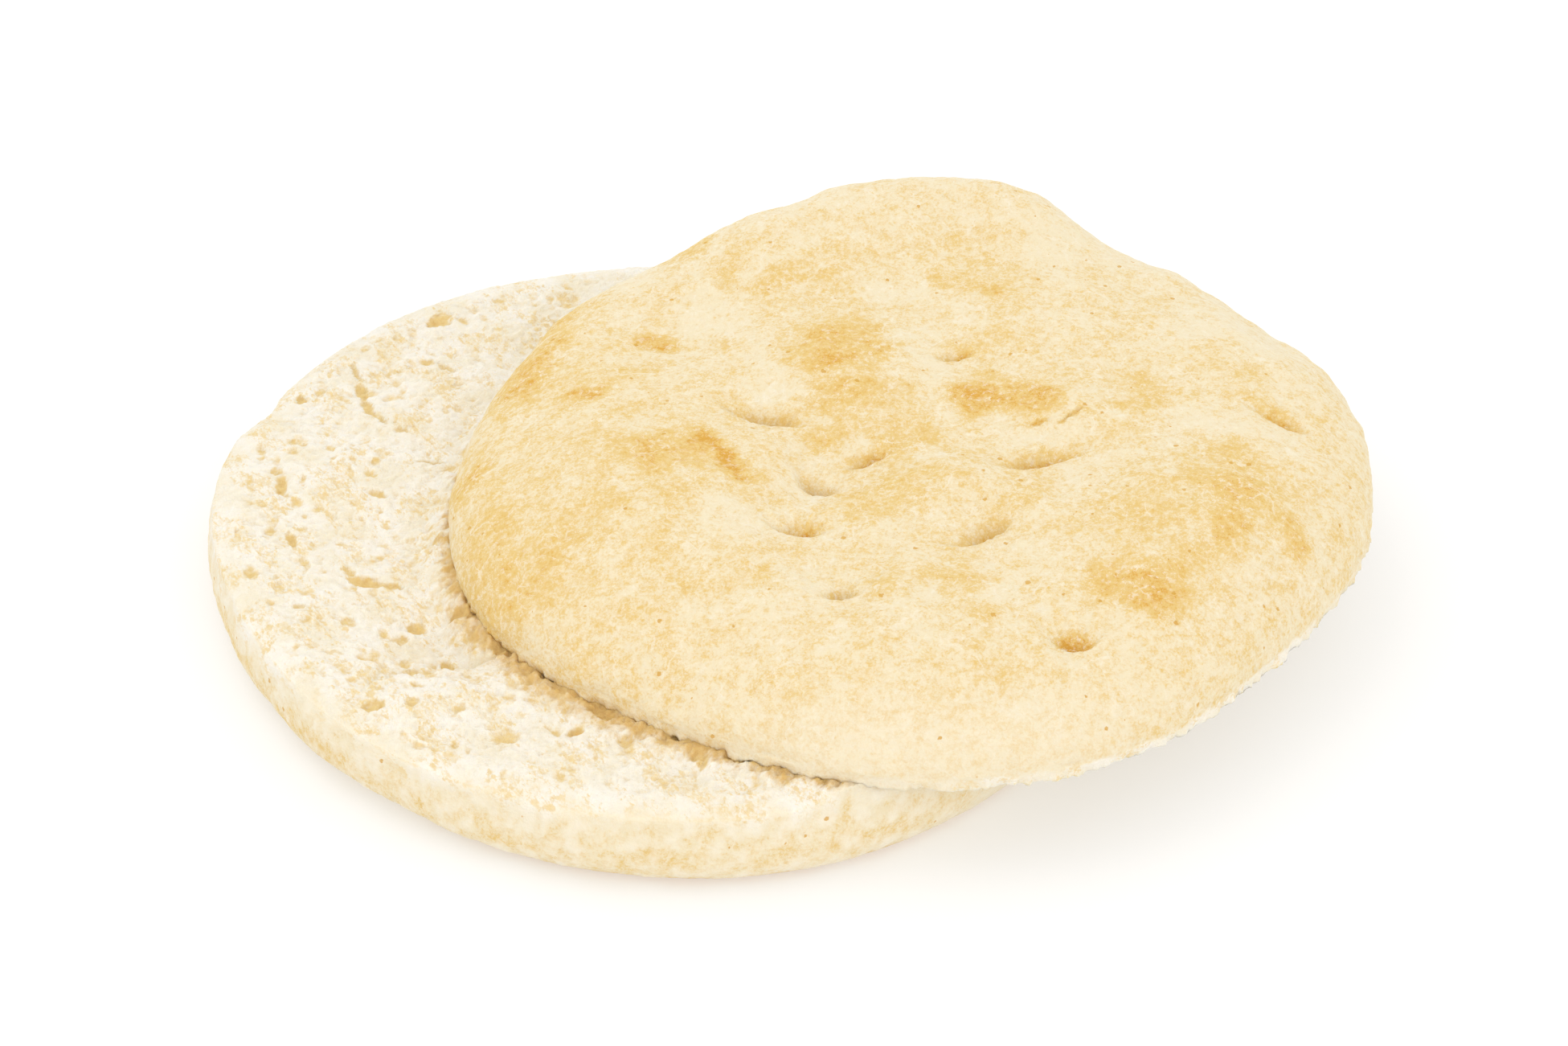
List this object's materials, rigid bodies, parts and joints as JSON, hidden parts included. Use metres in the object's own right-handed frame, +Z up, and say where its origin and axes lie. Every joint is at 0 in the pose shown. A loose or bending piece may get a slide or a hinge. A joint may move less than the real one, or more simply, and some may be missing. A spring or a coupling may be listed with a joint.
{
  "type": "focaccia",
  "caption": "Round flat bread roll cut through into two halves: the lower lies crumb side up, and the dimpled golden upper half is slid aside and rests on it.",
  "frame": {"origin": "on the surface that the roll lies on, under the middle of its outer box", "axes": "+Z up; +X towards the side to which the upper half has been slid; +Y away from the picture's camera"},
  "size_m": [0.1629, 0.1344, 0.032],
  "materials": {
    "crumb": "soft open crumb, off-white, with a pale floury crust round its side; matte",
    "crust": "thin golden crust, browner on the raised parts and dusted with flour; matte to satin"
  },
  "bodies": {
    "root": {"lower_half": "crumb", "upper_half": "crust"}
  },
  "joints": []
}
